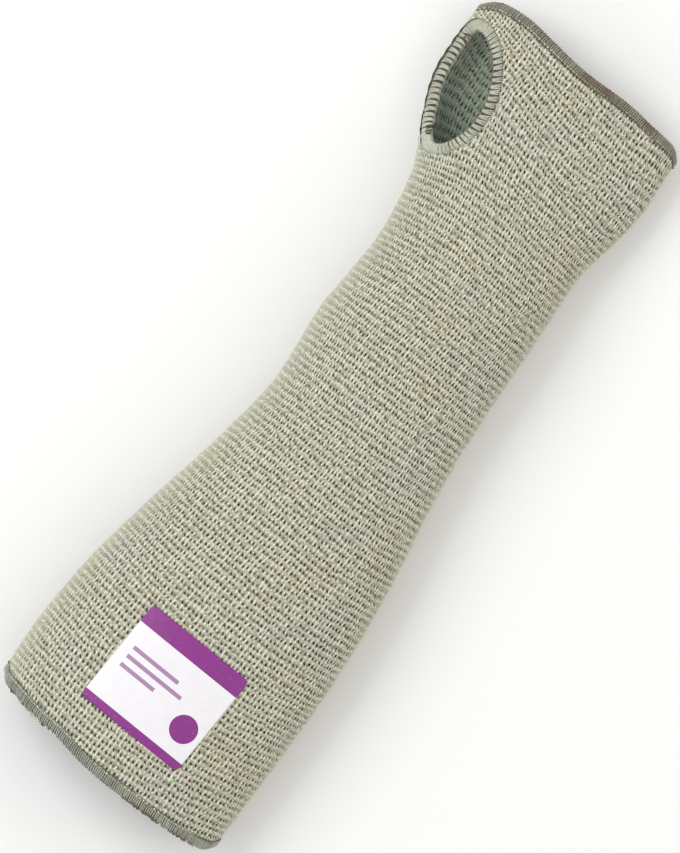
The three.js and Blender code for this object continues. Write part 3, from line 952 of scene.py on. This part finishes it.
# Threads and the cloth edge under them: pale and dull colour, grain in mm, where brown patches begin
arm_thread = make_material("overlock_thread", thread, "#B2B8A9", "#A2A596", 0.5, 0.72)
hand_thread = make_material("browner_overlock_thread", thread, "#A5A292", "#928B7C", 0.5, 0.6)
binding_thread = make_material("thumb_hole_overlock_thread", thread, "#CDD1BF", "#BCC0AD", 0.5, 0.75)
shaded_edge = make_material("shaded_knit_edge", thread, "#4E4C40", "#423F35", 0.8, 0.66)
brown_thread = make_material("brown_seam_thread", thread, "#94887A", "#6A4F42", 0.4, 0.9)
# The seam thread's dark colour is partly the thread's own and partly painted shade of the valley between the
# hem and the knit
seam_thread_and_shade = make_material("seam_thread_with_valley_shade", thread, "#605E54", "#4A4840", 0.4, 0.9)
tack_thread = make_material("red_brown_tack_thread", thread, "#5C463C", "#40302A", 0.4, 0.9)
pale_thread = make_material("loose_pale_thread", thread, "#E6E4DA", "#D6CFC2", 0.4, 0.9)

# Pieces


def build_knit():
    first, last = -SPARE_COURSES, COURSES + SPARE_COURSES
    names = ("knit_arm_end", "knit_forearm", "knit_hand_end")
    for name, start, end in zip(names, (first, *SPLIT_COURSES), (*SPLIT_COURSES, last)):
        piece = knit_piece(name, start, end, per_wale=4, per_course=4, depth=0.0, inside_out=False)
        finish_piece(piece, knit_outside, "knit_yarn", "knit_tube")
    piece = knit_piece(
        "knit_inside", first, last, per_wale=2, per_course=3, depth=KNIT_THICKNESS, inside_out=True,
    )
    finish_piece(piece, knit_reverse, "knit_yarn", "knit_tube")


def build_arm_hem():
    width, thickness = ARM_HEM_WIDTH, ARM_HEM_THICKNESS
    core = band_core("arm_hem_core", arm_place, 400, width - 0.9, thickness - 0.9)
    finish_piece(core, shaded_edge, "hem_thread", "arm_hem")
    wound = wound_thread(arm_place, ARM_HEM_TURNS, width - 0.6, thickness - 0.6, radius=0.37, seed=21)
    finish_piece(make_mesh("arm_hem_thread", *wound), arm_thread, "hem_thread", "arm_hem")
    # The dark seam line along the hem's inner edge, partly painted shade of the valley there
    seam = zigzag_thread(
        arm_place, HEM_STITCHES, -width / 2.0 + 0.1, height=1.3, swing=0.35, radius=0.17, seed=22,
    )
    finish_piece(make_mesh("arm_hem_seam", *seam), seam_thread_and_shade, "hem_thread")
    edge = zigzag_thread(
        arm_place, HEM_STITCHES, width / 2.0 - 0.1, height=0.2, swing=0.12, radius=0.24, seed=23,
    )
    finish_piece(make_mesh("arm_hem_edge", *edge), brown_thread, "hem_thread")
    brown = frays(BROWN_FRAYS, reach=1.1, radius=0.26, seed=24)
    finish_piece(make_mesh("arm_hem_brown_frays", *brown), brown_thread, "hem_thread")
    pale = frays(PALE_FRAYS, reach=1.3, radius=0.32, seed=25)
    finish_piece(make_mesh("arm_hem_pale_frays", *pale), pale_thread, "hem_thread")


def build_hand_hem():
    width, thickness = HAND_HEM_WIDTH, HAND_HEM_THICKNESS
    core = band_core("hand_hem_core", hand_place, 400, width - 0.9, thickness - 0.9)
    finish_piece(core, shaded_edge, "hem_thread", "hand_hem")
    wound = wound_thread(hand_place, HAND_HEM_TURNS, width - 0.6, thickness - 0.6, radius=0.36, seed=31)
    finish_piece(make_mesh("hand_hem_thread", *wound), hand_thread, "hem_thread", "hand_hem")
    # The dark seam line along the hem's inner edge, partly painted shade of the valley there
    seam = zigzag_thread(
        hand_place, HEM_STITCHES, -width / 2.0 + 0.1, height=1.3, swing=0.35, radius=0.22, seed=32,
    )
    finish_piece(make_mesh("hand_hem_seam", *seam), seam_thread_and_shade, "hem_thread")
    edge = zigzag_thread(
        hand_place, HEM_STITCHES, width / 2.0 - 0.1, height=0.2, swing=0.12, radius=0.22, seed=33,
    )
    finish_piece(make_mesh("hand_hem_edge", *edge), brown_thread, "hem_thread")


def build_thumb_binding():
    width, thickness = BINDING_WIDTH, BINDING_THICKNESS
    core = band_core("thumb_binding_core", thumb_place, 240, width - 1.0, thickness - 1.0)
    finish_piece(core, shaded_edge, "binding_thread", "thumb_binding")
    wound = wound_thread(
        thumb_place, BINDING_TURNS, width - 0.2, thickness - 0.7, radius=0.36, seed=41,
        strands=(-0.3, 0.0, 0.3), spread=0.3, lean=0.2, gather=ring_gather, slant=0.3,
    )
    piece = make_mesh("thumb_binding_thread", *wound)
    finish_piece(piece, binding_thread, "binding_thread", "thumb_binding")
    edge = zigzag_thread(
        thumb_place, BINDING_STITCHES, width / 2.0 - 0.25, height=0.7, swing=0.12, radius=0.15, seed=42,
    )
    finish_piece(make_mesh("thumb_binding_edge", *edge), brown_thread, "binding_thread")
    tacks = join([
        tack(thumb_place, 0.85, 15, width, thickness, radius=0.26, seed=43),
        tack(thumb_place, 0.12, 7, width, thickness, radius=0.24, seed=44),
    ])
    finish_piece(make_mesh("thumb_binding_tacks", *tacks), tack_thread, "binding_thread")


def build_label():
    film = make_material("printed_film", printed_film)
    finish_piece(label_piece(), film, "label_film", "size_label")


build_knit()
build_arm_hem()
build_hand_hem()
build_thumb_binding()
build_label()

# Stage

# The camera looks straight down from far off, turned so that the sleeve leans in the picture as it does in
# the photo. Its sensor lies along the picture's height
PHOTO_HEIGHT_PIXELS = 853.0
PIXEL = 0.4205
PICTURE_HEIGHT = PHOTO_HEIGHT_PIXELS * PIXEL * MM
CAMERA_DISTANCE = 8.0
CAMERA_TARGET = Vector((0.00016, -0.00297, 0.019))
PICTURE_RIGHT = Vector((0.8247, 0.5655, 0.0)).normalized()
PICTURE_UP = Vector((-0.5655, 0.8247, 0.0)).normalized()
UP = Vector((0.0, 0.0, 1.0))


def set_camera():
    data = bpy.data.cameras.new("camera")
    data.sensor_fit = "AUTO"
    data.sensor_width = 36.0
    data.lens = data.sensor_width * CAMERA_DISTANCE / PICTURE_HEIGHT
    camera = bpy.data.objects.new("camera", data)
    bpy.context.scene.collection.objects.link(camera)
    turn = Matrix((PICTURE_RIGHT, PICTURE_UP, UP)).transposed().to_4x4()
    camera.matrix_world = Matrix.Translation(CAMERA_TARGET + UP * CAMERA_DISTANCE) @ turn
    bpy.context.scene.camera = camera


def lay_floor():
    """The floor lies a little under the sleeve, so that their faces don't meet."""
    bpy.ops.mesh.primitive_plane_add(size=6.0, location=(0.0, 0.0, -0.0002))
    floor = bpy.context.object
    floor.name = "floor"
    floor.data.materials.append(make_material("matt_white_board", matt_board))


def light_room():
    world = bpy.data.worlds.new("studio")
    world.use_nodes = True
    background = world.node_tree.nodes["Background"]
    background.inputs[0].default_value = (1.0, 1.0, 1.0, 1.0)
    background.inputs[1].default_value = 0.74
    bpy.context.scene.world = world


def soft_light(name, towards, distance, size, power, colour):
    """A square soft light that shines at the sleeve from this side."""
    data = bpy.data.lights.new(name, "AREA")
    data.size = size
    data.energy = power
    data.color = colour
    light = bpy.data.objects.new(name, data)
    bpy.context.scene.collection.objects.link(light)
    way = towards.normalized()
    light.location = way * distance
    light.rotation_mode = "QUATERNION"
    light.rotation_quaternion = way.to_track_quat("Z", "Y")


set_camera()
lay_floor()
light_room()
soft_light(
    "key", PICTURE_UP * 0.6 - PICTURE_RIGHT * 0.7 + UP * 1.1,
    distance=2.0, size=1.2, power=17.0, colour=(0.98, 1.0, 0.99),
)
soft_light(
    "fill", PICTURE_RIGHT * 1.0 - PICTURE_UP * 0.3 + UP * 0.8,
    distance=2.0, size=1.5, power=6.0, colour=(1.0, 0.92, 0.74),
)

bpy.context.scene.view_settings.view_transform = "Standard"
